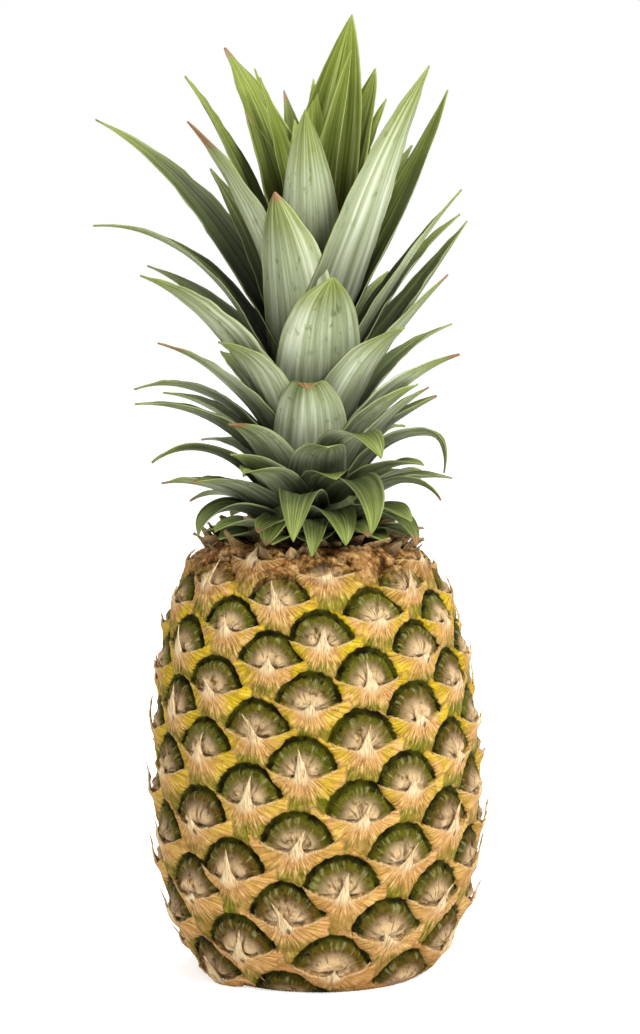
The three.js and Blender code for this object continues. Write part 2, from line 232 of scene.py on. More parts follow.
def onFruit(turn, climb, lift):
    # points on the fruit, lifted off its outline along the normal, in metres
    r, z, nr, nz = alongOutline(climb)
    angle = np.radians(turn)
    reach = r + nr * lift
    x = np.sin(angle) * reach + leanShift(z)
    y = -np.cos(angle) * reach
    height = np.maximum(z + nz * lift, 0)
    return np.stack([x, y, height], -1) * mm


def addPiece(name, points, faces, attributes=None):
    mesh = bpy.data.meshes.new(name)
    mesh.from_pydata(np.reshape(points, (-1, 3)).tolist(), [], [list(map(int, f)) for f in faces])
    for key, values in (attributes or {}).items():
        layer = mesh.attributes.new(key, "FLOAT", "POINT")
        layer.data.foreach_set("value", np.ravel(values).astype(np.float32))
    mesh.polygons.foreach_set("use_smooth", [True] * len(mesh.polygons))
    mesh.validate()
    piece = newObject(name, mesh)
    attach(piece, "root")
    return piece


def closedSheet(front, back):
    # a thin closed shell from two grids of points; the front grid faces out
    rows, columns = front.shape[:2]
    grid = np.arange(rows * columns).reshape(rows, columns)
    faces = np.stack([grid[:-1, :-1], grid[:-1, 1:], grid[1:, 1:], grid[1:, :-1]], -1).reshape(-1, 4)
    border = np.concatenate([grid[0, :], grid[1:, -1], grid[-1, -2::-1], grid[-2:0:-1, 0]])
    after = np.roll(border, -1)
    far = rows * columns
    rim = np.stack([border, border + far, after + far, after], -1)
    points = np.vstack([front.reshape(-1, 3), back.reshape(-1, 3)])
    return points, np.vstack([faces, faces[:, ::-1] + far, rim])


class Batch:
    # closed sheets gathered into one mesh, with their values for the shader
    def __init__(self):
        self.points, self.faces, self.fields, self.count = [], [], {}, 0

    def take(self, front, back, values):
        points, faces = closedSheet(front, back)
        self.points.append(points)
        self.faces.append(faces + self.count)
        self.count += len(points)
        shape = front.shape[:2]
        for key, value in values.items():
            both = value if isinstance(value, tuple) else (value, value)
            flat = [np.broadcast_to(v, shape).ravel() for v in both]
            self.fields.setdefault(key, []).extend(flat)

    def piece(self, name):
        fields = {key: np.concatenate(parts) for key, parts in self.fields.items()}
        return addPiece(name, np.vstack(self.points), np.vstack(self.faces), fields)


# Shader helpers

def colour(code):
    # a colour from its hex code on screen
    parts = [int(code[i:i + 2], 16) / 255 for i in (0, 2, 4)]
    linear = [p / 12.92 if p <= 0.04045 else ((p + 0.055) / 1.055) ** 2.4 for p in parts]
    return (*linear, 1)


def setInput(tree, socket, value):
    if isinstance(value, bpy.types.NodeSocket):
        tree.links.new(value, socket)
    else:
        socket.default_value = value


def add(tree, kind, inputs=None, **settings):
    made = tree.nodes.new(kind)
    for key, value in settings.items():
        setattr(made, key, value)
    for key, value in (inputs or {}).items():
        setInput(tree, made.inputs[key], value)
    return made


def attributes(tree, *names):
    return [add(tree, "ShaderNodeAttribute", attribute_name=name).outputs["Fac"] for name in names]


def blend(tree, factor, a, b):
    if isinstance(a, str):
        a = colour(a)
    if isinstance(b, str):
        b = colour(b)
    return add(tree, "ShaderNodeMix", {0: factor, 6: a, 7: b}, data_type="RGBA").outputs[2]


def sums(tree, operation, a, b=0):
    return add(tree, "ShaderNodeMath", {0: a, 1: b}, operation=operation).outputs[0]


def times(tree, *values):
    total = values[0]
    for value in values[1:]:
        total = sums(tree, "MULTIPLY", total, value)
    return total


def plus(tree, *values):
    total = values[0]
    for value in values[1:]:
        total = sums(tree, "ADD", total, value)
    return total


def minus(tree, a, b):
    return sums(tree, "SUBTRACT", a, b)


def magnitude(tree, value):
    return sums(tree, "ABSOLUTE", value)


def centred(tree, value, amount):
    # noise about zero instead of about a half
    return times(tree, minus(tree, value, 0.5), amount)


def spread(tree, value, low, high, to=(0, 1)):
    made = add(tree, "ShaderNodeMapRange", {"Value": value, "From Min": low, "From Max": high,
                                            "To Min": to[0], "To Max": to[1]})
    made.interpolation_type = "SMOOTHSTEP"
    return made.outputs["Result"]


def ramp(tree, factor, stops):
    made = add(tree, "ShaderNodeValToRGB", {"Fac": factor})
    bar = made.color_ramp
    while len(bar.elements) < len(stops):
        bar.elements.new(0.5)
    for element, (at, code) in zip(bar.elements, stops):
        element.position = at
        element.color = colour(code)
    return made.outputs["Color"]


def joined(tree, x, y, z=0):
    return add(tree, "ShaderNodeCombineXYZ", {"X": x, "Y": y, "Z": z}).outputs["Vector"]


def place(tree):
    return add(tree, "ShaderNodeTexCoord").outputs["Object"]


def grain(tree, vector, size, detail=4):
    return add(tree, "ShaderNodeTexNoise", {"Vector": vector, "Scale": size, "Detail": detail,
                                            "Roughness": 0.62}).outputs["Fac"]


def newGroup(name, sockets):
    # a node group with number inputs, one vector input at most, and one mask for its result
    group = bpy.data.node_groups.new(name, "ShaderNodeTree")
    for label, value in sockets:
        kind = "NodeSocketVector" if value is None else "NodeSocketFloat"
        made = group.interface.new_socket(name=label, in_out="INPUT", socket_type=kind)
        if value is not None:
            made.default_value = value
    group.interface.new_socket(name="Mask", in_out="OUTPUT", socket_type="NodeSocketFloat")
    return group, group.nodes.new("NodeGroupInput").outputs, group.nodes.new("NodeGroupOutput").inputs


def makeBlotches():
    # soft patches: how much of the surface they cover and how sharp their edges are
    sockets = [("Vector", None), ("Scale", 100), ("Cover", 0.5), ("Edge", 0.1)]
    group, given, result = newGroup("blotches", sockets)
    noise = grain(group, given["Vector"], given["Scale"])
    level = minus(group, 0.75, times(group, given["Cover"], 0.5))
    low = minus(group, level, given["Edge"])
    high = plus(group, level, given["Edge"])
    group.links.new(spread(group, noise, low, high), result["Mask"])
    return group


def makeStrands():
    # fibres: noise drawn out along one direction and packed across the other
    sockets = [("Across", 0), ("Along", 0), ("Seed", 0), ("Count", 20), ("Run", 1)]
    group, given, result = newGroup("strands", sockets)
    across = times(group, given["Across"], given["Count"])
    along = times(group, given["Along"], given["Run"])
    vector = joined(group, across, along, times(group, given["Seed"], 37))
    group.links.new(grain(group, vector, 1, 3), result["Mask"])
    return group


blotchGroup = makeBlotches()
strandGroup = makeStrands()


def useGroup(tree, group, inputs):
    made = add(tree, "ShaderNodeGroup", node_tree=group)
    for key, value in inputs.items():
        setInput(tree, made.inputs[key], value)
    return made.outputs["Mask"]


def blotches(tree, vector, scale, cover, edge):
    return useGroup(tree, blotchGroup, {"Vector": vector, "Scale": scale, "Cover": cover, "Edge": edge})


def strands(tree, across, along, seed, count, run):
    inputs = {"Across": across, "Along": along, "Seed": seed, "Count": count, "Run": run}
    return useGroup(tree, strandGroup, inputs)


def newMaterial(name):
    material = bpy.data.materials.new(name)
    material.use_nodes = True
    tree = material.node_tree
    tree.nodes.clear()
    shader = tree.nodes.new("ShaderNodeBsdfPrincipled")
    end = tree.nodes.new("ShaderNodeOutputMaterial")
    tree.links.new(shader.outputs["BSDF"], end.inputs["Surface"])
    return material, tree, shader


def finishMaterial(tree, shader, base, rough, height, depth, shine=0.5):
    shader.inputs["Specular IOR Level"].default_value = shine
    tree.links.new(base, shader.inputs["Base Color"])
    tree.links.new(rough, shader.inputs["Roughness"])
    bump = add(tree, "ShaderNodeBump", {"Height": height, "Distance": depth, "Strength": 1})
    tree.links.new(bump.outputs["Normal"], shader.inputs["Normal"])


# The rind: a net along the spiral rows, raised into a domed shield and a bract at each eye

shield = {
    "foot": -6,  # its straight foot, below the eye's middle
    "halfWidth": 11.5,
    "height": 13.2,
    "footFade": 4,
    "teeth": 23,
    "toothDepth": 0.012,
    "uneven": 0.05,
    "unevenWaves": 4,
    "dome": 2.7,
    "domePower": 7,
    "rim": {"height": 0.45, "at": 0.86, "width": 0.09},
    "hollow": {"depth": 0.7, "at": 0.6, "width": 0.14},
    "pleats": {"height": 0.16, "count": 27, "sway": 4, "waves": 5, "from": 0.35, "to": 0.8},
    # dried flower remains on both sides of the spine
    "petals": {"height": 1.5, "share": (0.35, 1.25), "aside": (3.4, 4.4), "up": (2.9, 4.6),
               "halfWidth": 1.9, "halfHeight": 2.1},
    "crease": {"depth": 0.8, "up": 0.9, "width": 0.7, "from": 10, "to": 6},  # along the foot
    "lumps": {"height": 0.3, "waves": 0.9},
}

bract = {
    "wing": 12.4,  # half the span between its wing tips
    "wingRise": 3.6,
    "wingCurve": 1.7,
    "ridge": 4,
    "fall": 0.13,
    "spread": 0.09,
    "groove": 0.17,  # width of the groove round a shield, as a share of the shield
    "overlap": 1.2,  # how far the shield goes on under it
}

rind = {
    "stepsPerEye": 26,
    "below": 7,  # how many eyes the net goes on below the first and above the last
    "above": 5,
    "groove": (0.35, 1.7),  # the lifts between which the groove's dark green and painted shade end
    "grain": 0.14,
    "grainWaves": {3: 2.1, 31: 4.6},  # by their seeds
    "fadeIn": 7,
    "fadeOut": 6,
    "underside": (1, -2),
    "scars": {"height": 0.5, "waves": 0.5, "from": 0, "to": -3, "middle": 0.4},  # under the base
}


def bractEdge(u):
    # the bract's upper edge: low under the spine, up to the wing tips
    return shield["foot"] + bract["wingRise"] * (np.abs(u) / bract["wing"]) ** bract["wingCurve"]


def bractLift(u, v):
    below = np.maximum(bractEdge(u) - v, 0)
    return bract["ridge"] - bract["spread"] * np.abs(u) - bract["fall"] * below


def shieldEdge(u, v, seed):
    # 0 at the middle of the shield's foot, 1 at its toothed rim
    above = v - shield["foot"]
    edge = np.hypot(u / shield["halfWidth"], np.maximum(above, 0) / shield["height"])
    edge = edge + np.maximum(-above, 0) / shield["footFade"]
    angle = np.arctan2(above, u)
    teeth = shield["toothDepth"] * np.sin(angle * shield["teeth"] + fullTurn * draw(seed))
    return edge * (1 + teeth + shield["uneven"] * wobble(seed + 3, angle * shield["unevenWaves"]))


def shieldLift(u, v, edge, seed):
    rim, hollow, pleats = shield["rim"], shield["hollow"], shield["pleats"]
    petals, crease, lumps = shield["petals"], shield["crease"], shield["lumps"]
    above = v - shield["foot"]
    lift = shield["dome"] * (1 - np.clip(edge, 0, 1) ** shield["domePower"])
    lift = lift + rim["height"] * hump(edge, rim["at"], rim["width"])
    lift = lift - hollow["depth"] * hump(edge, hollow["at"], hollow["width"])
    sway = pleats["sway"] * wobble(seed, edge * pleats["waves"])
    folds = np.sin(np.arctan2(above, u) * pleats["count"] + sway)
    lift = lift + pleats["height"] * folds * ease(pleats["from"], pleats["to"], edge)
    for side in (-1, 1):
        across = hump(u, side * within(seed + side + 11, petals["aside"]), petals["halfWidth"])
        up = hump(above, within(seed + side + 23, petals["up"]), petals["halfHeight"])
        lift = lift + petals["height"] * within(seed + side + 31, petals["share"]) * across * up
    foot = hump(above, crease["up"], crease["width"]) * ease(crease["from"], crease["to"], np.abs(u))
    uneven = lumps["height"] * wobble(seed + 50, u * lumps["waves"], v * lumps["waves"])
    return lift - crease["depth"] * foot + uneven


def eyeField(a, b, turn, climb):
    # the surface at each net point: lift off the outline, and where it is in the eye that it belongs to
    noEye, outside, nearby = 9, 2, (-1, 0, 1, 2)
    radius = alongOutline(climb)[0]
    candidates = []
    for da in nearby:
        for db in nearby:
            i, j = np.floor(a) + da, np.floor(b) + db
            number = eyes["rowA"] * i + eyes["rowB"] * j
            turnOff, climbOff = eyeJitter(number)
            eyeClimb = climbOf(number) + climbOff
            size = eyeSize(eyeClimb)
            away = turn - (eyes["firstTurn"] + i * turnA + j * turnB + turnOff)
            u = np.radians(away) * radius / size
            v = (climb - eyeClimb) / size
            real = (number >= 0) & (number < eyeCount)
            candidates.append((number, u, v, size, np.where(real, shieldEdge(u, v, number), noEye)))
    nearest, second = np.sort(np.array([c[4] for c in candidates]), axis=0)[:2]
    lift = np.zeros_like(turn)
    field = {key: np.zeros_like(turn) for key in ("eyeU", "eyeV", "eyeRim", "eyeSeed", "onShield")}
    field["eyeRim"] += outside
    for number, u, v, size, edge in candidates:
        others = np.where(edge == nearest, second, nearest)
        clear = ease(1, 1 + bract["groove"], others)
        real = edge < noEye
        onBract = np.where(real & (v < bractEdge(u)), bractLift(u, v) * clear, 0)
        inside = real & (v >= bractEdge(u) - bract["overlap"]) & (edge < 1)
        onDome = np.where(inside, shieldLift(u, v, edge, number), 0)
        height = np.maximum(onBract, onDome) * size
        wins = height > lift
        lift = np.where(wins, height, lift)
        values = (u, v, edge, draw(number + 0.5), (onDome > onBract) * 1)
        for key, value in zip(field, values):
            field[key] = np.where(wins, value, field[key])
    return lift, field


def rindGrid(r):
    # net points as steps along the two rows, and the quads between them; the seam joins the first column
    steps, rowA, rowB = r["stepsPerEye"], eyes["rowA"], eyes["rowB"]
    columns = rowB * steps
    column = np.arange(columns)
    start = np.ceil((-r["below"] * steps - rowA * column) / rowB).astype(int)
    stop = np.floor(((eyeCount + r["above"]) * steps - rowA * column) / rowB).astype(int)
    a = np.concatenate([np.full(t - f + 1, i) for i, f, t in zip(column, start, stop)])
    b = np.concatenate([np.arange(f, t + 1) for f, t in zip(start, stop)])
    grid = -np.ones((columns + 1, stop.max() - start.min() + rowA * steps + 2), int)
    grid[a, b - start.min()] = np.arange(len(a))
    grid[columns, :-rowA * steps] = grid[0, rowA * steps:]
    quads = np.stack([grid[:-1, :-1], grid[1:, :-1], grid[1:, 1:], grid[:-1, 1:]], -1).reshape(-1, 4)
    return a / steps, b / steps, quads[(quads >= 0).all(1)]


def makeRind(r):
    a, b, quads = rindGrid(r)
    turn, climb = latticePlace(a, b)
    lift, field = eyeField(a, b, turn, climb)
    radius, z, _, _ = alongOutline(climb)
    angle = np.radians(turn)
    x, y = np.sin(angle) * radius, np.cos(angle) * radius
    # low: how deep a point sits in the groove between eyes, for the groove's dark green and painted shade
    field["low"] = 1 - ease(*r["groove"], lift)
    field["high"] = np.clip(z / fruit["height"], 0, 1)
    field["underside"] = ease(*r["underside"], climb)
    grains = [wobble(seed, *(c * waves for c in (x, y, z))) for seed, waves in r["grainWaves"].items()]
    seat = ease(outlineLength - r["fadeOut"], outlineLength, climb)
    fade = ease(0, r["fadeIn"], climb) * (1 - seat)
    points = onFruit(turn, climb, (lift + r["grain"] * sum(grains)) * fade)
    scars = r["scars"]
    rough = scars["height"] * (1 + wobble(77, x * scars["waves"], y * scars["waves"]))  # never negative
    points[:, 2] += rough * ease(scars["from"], scars["to"], climb) * mm
    faces = quads.tolist()
    edges = {edge for q in faces for edge in zip(q, q[1:] + q[:1])}
    poles = np.array([[0, 0, scars["middle"]], [fruit["lean"]["shift"], 0, fruit["height"]]]) * mm
    for p, q in edges:
        if (q, p) not in edges:
            faces.append([q, p, len(points) + int(z[p] > fruit["height"] / 2)])
    fields = {key: np.append(value, [0, 0]) for key, value in field.items()}
    piece = addPiece("rind", np.vstack([points, poles]), faces, fields)
    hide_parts("fruit")
    return piece


rindPiece = makeRind(rind)
print("rind", len(rindPiece.data.polygons), "faces")


# Bracts: a papery edge under each shield, with wings round its foot and a spine over its face

scale = {
    "columns": 17,  # on each side of the spine
    "rows": 9,
    "centreCrowd": 1.8,
    "lowest": 9.5,  # eyes below this stand on the table by their shields
    "fromTop": 5,
    "span": (0.94, 1.02),
    "hang": 6.5,  # how far it shows below its upper edge before it dives into the rind
    "ragged": 0.35,
    "thickness": 0.7,
    "tipShare": 0.35,  # of the thickness, at the spine's tip
    "proud": 0.5,
    "sunk": 1.2,
    "crumple": 0.5,
    "wingDip": 1,
    "keel": {"height": 0.9, "width": 2.4},
    "spine": {"half": 3.4, "curve": 2.6, "length": 10.5, "share": (0.45, 1.15), "clear": 0.6, "lift": 2.2,
              "lifts": (0.5, 1.5), "bend": (-4.2, 4.2), "sway": 0.25},
    "broken": {"chance": 0.18, "left": 0.4},
    "split": {"chance": 0.4, "height": 0.25, "aside": (-1.6, 1.6), "width": 0.5},
}


def makeScale(batch, number, s):
    spine, split, keel = s["spine"], s["split"], s["keel"]
    turnOff, climbOff = eyeJitter(number)
    turn = eyes["firstTurn"] + number * eyes["divergence"] + turnOff
    climb = float(climbOf(number) + climbOff)
    size = float(eyeSize(climb))
    radius, z = (float(value) for value in alongOutline(climb)[:2])
    side = np.linspace(-1, 1, 2 * s["columns"] + 1)
    span = bract["wing"] * within(number + 61, s["span"])
    u = np.sign(side) * np.abs(side) ** s["centreCrowd"] * span
    t = np.linspace(0, 1, s["rows"] + 1)[:, None]

    # its outline: an upper edge, a hanging foot, and a spine that may be broken off or split
    length = spine["length"] * within(number + 71, spine["share"])
    if draw(number + 73) < s["broken"]["chance"]:
        length *= s["broken"]["left"]
    point = np.clip(1 - np.abs(u) / spine["half"], 0, 1) ** spine["curve"]
    if draw(number + 77) > 1 - split["chance"]:
        point = point + split["height"] * hump(u, within(number + 79, split["aside"]), split["width"])
    top = bractEdge(u) + s["ragged"] * wobble(number + 5, u * 1.5)
    foot = top - s["hang"] * np.clip(1 - (np.abs(u) / span) ** 2, 0, 1) ** 0.6 - 0.2
    v = mix(foot, top, t**0.8) + point * length * t**4
    over = np.clip((v - top) / max(length, 1), 0, 1)
    sway = spine["sway"] * wobble(number + 9, u * 0.9, v * 0.7)
    u = u + within(number + 900, spine["bend"]) * over**1.3 + sway

    # its lift: out of the rind at the foot, up to the keel, and over the shield along the spine
    body = bractLift(u, np.minimum(v, top))
    body = body + s["proud"] * ease(0.3, 0.95, t) - s["sunk"] * (1 - ease(0, 0.35, t))
    body = body + s["crumple"] * wobble(number + 21, u * 1.3, v * 0.6) * ease(0.2, 0.9, t)
    body = body + keel["height"] * hump(u, 0, keel["width"]) * ease(0.4, 1, t)
    body = body - s["wingDip"] * ease(0.88, 1, np.abs(side))
    tip = shield["dome"] + spine["clear"] + spine["lift"] * over * within(number + 81, spine["lifts"])
    lift = mix(body, np.maximum(body, tip), ease(0, 0.3, over))
    under = lift - s["thickness"] * mix(1, s["tipShare"], over)
    around = turn + np.degrees(u * size / radius)
    sheets = [onFruit(around, climb + v * size, h * size) for h in (lift, under)]
    batch.take(*sheets, {"eyeU": u, "eyeV": v, "eyeSeed": draw(number + 0.5), "overShield": over,
                         "high": float(np.clip(z / fruit["height"], 0, 1))})


def makeScales(s):
    batch = Batch()
    for number in range(1, eyeCount):
        if s["lowest"] < climbOf(number) + eyeJitter(number)[1] < outlineLength - s["fromTop"]:
            makeScale(batch, number, s)
    piece = batch.piece("bracts")
    return piece


scalePiece = makeScales(scale)
print("bracts", len(scalePiece.data.polygons), "faces")


# Blades: crown leaves, the dry collar under them and the flaps round the base

crown = {
    "seat": 156.4,
    "stem": [(0, 0), (21, 0), (20, 6), (17.5, 18), (14.5, 40), (11, 64), (7, 88), (3, 101), (0, 104)],
    "stemRows": 90,
    "footRows": 8,
    "stemSides": 72,
    "stemUneven": 0.3,
    "thickness": 1.9,
    "tipThickness": 0.7,
    "sunk": 4,
    "leastReach": 0.5,
    "channel": 0.2,
    "tipChannel": 0.1,
    "wavy": 0.5,
    "ripple": 0.8,
    "sway": 2,
    "rib": 0.35,
    "along": 28,
    "across": 16,
}

# turn, rise, length, width, lean, droop, twist
frontLeaves = [
    [0, 4, 35, 11, 58, 120, 0], [-46, 3, 32, 14, 66, 50, 0], [27, 3, 29, 14, 64, 60, 0],
    [60, 4, 33, 15, 54, 127, 0], [-24, 4, 29, 14, 62, 62, 0], [-66, 6, 34, 17, 53, 124, 0],
    [-88, 9, 41, 15, 57, 46, 8], [76, 9, 39, 13, 38, 116, -12], [-6, 9, 52, 16, 52, 120, 0],
    [24, 12, 52, 16, 44, 155, 0], [12, 14, 31, 17, 42, 70, 0], [-82, 14, 51, 17, 37, 97, 8],
    [92, 12, 38, 13, 57, 48, 0], [-40, 15, 34, 18, 45, 34, 0], [78, 17, 55, 17, 29, 123, -8],
    [27, 19, 52, 18, 28, 120, 0], [-44, 18, 41, 21, 29, 56, 0], [-4, 22, 44, 26, 12, 34, 0],
    [84, 25, 42, 18, 35, 27, 0], [-78, 24, 59, 17, 44, 54, 0], [-92, 28, 62, 17, 35, 79, 8],
    [64, 30, 40, 18, 40, 22, 0], [-72, 32, 61, 19, 33, 44, 0], [72, 31, 57, 20, 37, 36, -8],
    [42, 35, 57, 22, 22, 50, 0], [-48, 30, 55, 22, 16, 58, 6], [100, 30, 40, 14, 54, 14, 0],
    [-64, 36, 83, 26, 26, 47, 8], [14, 42, 59, 30, 15, 30, 0], [-120, 46, 80, 21, 36, 38, 0],
    [-108, 49, 104, 18, 23, 74, 8], [84, 45, 63, 20, 34, 11, 0], [112, 47, 84, 24, 38, 0, -8],
    [100, 56, 83, 18, 29, 14, -8], [-24, 54, 73, 28, 10, 18, 0], [-128, 63, 132, 24, 35, 35, 0],
    [-66, 62, 96, 26, 13, 32, 0], [50, 66, 111, 28, 21, 10, 0], [122, 68, 106, 24, 33, -10, 0],
    [-122, 84, 73, 21, 16, 12, 0], [-4, 80, 74, 22, 7, 14, 0], [-142, 86, 103, 25, 15, 35, 0],
    [-162, 90, 63, 15, 11, 21, 0], [120, 88, 65, 16, 29, -10, 0], [138, 90, 84, 24, 24, -5, 0],
    [158, 92, 104, 28, 20, 8, 0], [-24, 5, 28, 14, 56, 120, 0], [14, 6, 36, 14, 54, 120, 0],
    [-32, 12, 36, 20, 42, 60, 0], [8, 17, 34, 20, 32, 60, 0], [58, 14, 38, 18, 44, 60, 0],
    [-58, 10, 38, 18, 52, 50, 0], [48, 6, 34, 16, 58, 70, 0],
]

backLeaves = {"count": 80, "from": 2.5, "to": 97, "crowding": 1.35, "firstTurn": 40, "step": 137.5,
              "front": 112, "lengths": (0.9, 1.1), "twist": (-12, 12)}

lowest = {"count": 11, "rise": 1.5, "length": 22, "width": 16, "lean": 76, "droop": 34, "uneven": 14}

# rise, length, width, lean, droop
leafByRise = np.array([
    (4, 32, 13, 60, 70),
    (22, 50, 15, 50, 46),
    (45, 76, 17, 33, 28),
    (66, 100, 19, 19, 24),
    (100, 74, 14, 8, 14),
], float)

# how the leaves of the front table differ: pale bloom, share of the tip that is dry, a fold near the tip
leafBloom = {34: 1, 28: 1, 17: 0.95, 37: 1, 40: 0.8, 24: 0.85, 25: 0.6, 27: 0.6, 36: 0.65, 15: 0.6,
             16: 0.55, 23: 0.6, 33: 0.6, 31: 0.4, 8: 0.25, 9: 0.2, 0: 0.1, 18: 0.5, 14: 0.35}
leafDry = {22: 0.14, 16: 0.13, 36: 0.12, 17: 0.06, 34: 0.05, 3: 0.12}
leafFold = {17: (0.86, 75), 14: (0.72, 45)}
usualLeaf = {"bloom": (0.15, 0.55), "dry": 0.05, "dryAbove": 0.8}

# rings of withered bracts, from the outer: count, radius, height, lean
collarRings = [(24, 34, 146.5, 28), (26, 29.5, 150, 40), (24, 25, 152.5, 48), (16, 21, 154, 30)]
collar = {"length": 11.5, "width": 10, "thickness": 0.8, "tipThickness": 0.5, "channel": 0.3,
          "tipChannel": 0.35, "bluntness": 1.5, "wavy": 1.4, "ripple": 2.2, "along": 12, "across": 8,
          "uneven": 0.8, "out": (-1, 1), "up": (-0.7, 0.8), "lengths": (0.65, 1.35),
          "widths": (0.75, 1.25), "droop": (-20, 50), "twist": (-25, 25)}
flaps = {"count": 9, "radius": 35.5, "height": 0.6, "length": 19, "width": 18, "lean": 54, "droop": -44,
         "thickness": 0.9, "tipThickness": 0.6, "channel": -0.08, "tipChannel": -0.1, "bluntness": 3,
         "wavy": 0.7, "ripple": 0.8, "along": 14, "across": 14, "uneven": 20, "lengths": (0.7, 1.3)}


def stemRadius(rise):
    table = np.array(crown["stem"][1:], float)
    return float(np.interp(rise, table[:, 1], table[:, 0]))


def allLeaves():
    leaves = [list(leaf) for leaf in frontLeaves]
    b = backLeaves
    for i in range(b["count"]):
        turn = (b["firstTurn"] + i * b["step"]) % 360 - 180
        if abs(turn) < b["front"]:
            continue
        rise = mix(b["from"], b["to"], (i / b["count"]) ** b["crowding"])
        rises, *columns = leafByRise.T
        length, width, lean, droop = (np.interp(rise, rises, column) for column in columns)
        length *= within(i + 300, b["lengths"])
        leaves.append([turn, rise, length, width, lean, droop, within(i + 330, b["twist"])])
    for i in range(lowest["count"]):
        turn = i * 360 / lowest["count"] + draw(i + 460) * lowest["uneven"]
        leaves.append([turn, *(lowest[key] for key in ("rise", "length", "width", "lean", "droop")), 0])
    return leaves


def bladeWidth(t, bluntness):
    return (1.02 - 0.04 * t) * (1 - t**bluntness) + 0.02


def turned(vectors, axis, angle):
    # vectors turned about a unit axis that they are square to
    return vectors * math.cos(angle) + np.cross(axis, vectors) * math.sin(angle)


def bladeSheets(root, turn, length, width, lean, droop, twist, shape):
    # front and back grids of a blade that grows from its root, outwards and up
    angle = math.radians(turn)
    out = np.array([math.sin(angle), -math.cos(angle), 0])
    side = np.array([math.cos(angle), math.sin(angle), 0])
    up = np.array([0, 0, 1])
    s = np.linspace(-1, 1, shape["across"] + 1)
    t = np.linspace(0, 1, shape["along"] + 1)
    bluntness = shape.get("bluntness", float(np.clip(6.4 - 0.95 * length / width, 2.1, 4.2)))
    foldAt, foldBy = shape.get("fold", (1, 0))
    seed = shape["seed"]
    front, back = [], []
    middle = np.array(root, float)
    for share in t:
        folded = foldBy * float(ease(foldAt - 0.06, foldAt + 0.08, share))
        tilt = math.radians(lean + droop * share**1.6 + folded)
        ahead = out * math.sin(tilt) + up * math.cos(tilt)
        inner = up * math.sin(tilt) - out * math.cos(tilt)
        roll = math.radians(twist * share)
        wide, face = turned(side, ahead, roll), turned(inner, ahead, roll)
        full = bladeWidth(share, bluntness)
        hollow = width * mix(shape["channel"], shape["tipChannel"], share) * full
        thick = mix(shape["thickness"], shape["tipThickness"], share) / 2 * (1 - 0.75 * s**2)
        waves = wobble(seed + 40, share * length * 0.35 + s * 2)
        margin = shape["wavy"] * np.abs(s) ** 3 * waves * min(1, 4 * share)
        ripple = shape["ripple"] * wobble(seed + 60, share * length * 0.12, s * 2.5)
        sway = shape.get("sway", 0) * share * wobble(seed + 80, share * 4)
        spot = middle + np.outer(s * width / 2 * full + sway, wide)
        rib = shape.get("rib", 0) * hump(s, 0, 0.08) * math.sin(math.pi * share)
        bow = hollow * np.abs(s) ** 1.9 + margin + ripple * min(1, 3 * share) * (1 - share) - rib
        front.append(spot + np.outer(bow + thick, face))
        back.append(spot + np.outer(bow - thick, face))
        middle = middle + ahead * length / shape["along"]
    values = {"leafAlong": t[:, None], "leafAcross": s[None, :], "leafSide": (1, -1),
              "leafSeed": draw(seed + 0.25)}
    return np.array(front) * mm, np.array(back) * mm, values


def rootAt(turn, reach, height, shift=fruit["lean"]["shift"]):
    angle = math.radians(turn)
    return [math.sin(angle) * reach + shift, -math.cos(angle) * reach, height]


def makeLeaves(c):
    batch = Batch()
    for index, (turn, rise, length, width, lean, droop, twist) in enumerate(allLeaves()):
        root = rootAt(turn, max(stemRadius(rise) - c["sunk"], c["leastReach"]), c["seat"] + rise)
        shape = dict(c, seed=index, fold=leafFold.get(index, (1, 0)))
        front, back, values = bladeSheets(root, turn, length, width, lean, droop, twist, shape)
        values["leafRise"] = rise / 100
        values["leafBloom"] = leafBloom.get(index, within(index + 70, usualLeaf["bloom"]))
        dry = usualLeaf["dry"] * (draw(index + 80) > usualLeaf["dryAbove"])
        values["leafDry"] = leafDry.get(index, dry)
        batch.take(front, back, values)
    piece = batch.piece("crownLeaves")
    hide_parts("crown")
    return piece


def makeCollar(c):
    batch = Batch()
    seed = 200
    for count, radius, height, lean in collarRings:
        for i in range(count):
            seed += 1
            turn = (i + c["uneven"] * draw(seed)) * 360 / count
            root = rootAt(turn, radius + within(seed + 0.1, c["out"]), height + within(seed + 0.2, c["up"]))
            length = c["length"] * within(seed + 0.3, c["lengths"])
            width = c["width"] * within(seed + 0.4, c["widths"])
            droop, twist = within(seed + 0.5, c["droop"]), within(seed + 0.6, c["twist"])
            batch.take(*bladeSheets(root, turn, length, width, lean, droop, twist, dict(c, seed=seed)))
    piece = batch.piece("collarBracts")
    return piece


def makeFlaps(f):
    batch = Batch()
    for i in range(f["count"]):
        turn = i * 360 / f["count"] + draw(i + 140) * f["uneven"]
        root = rootAt(turn, f["radius"], f["height"] + f["thickness"], 0)
        length = f["length"] * within(i + 170, f["lengths"])
        shape = dict(f, seed=i + 400)
        batch.take(*bladeSheets(root, turn, length, f["width"], f["lean"], f["droop"], 0, shape))
    piece = batch.piece("baseFlaps")
    return piece


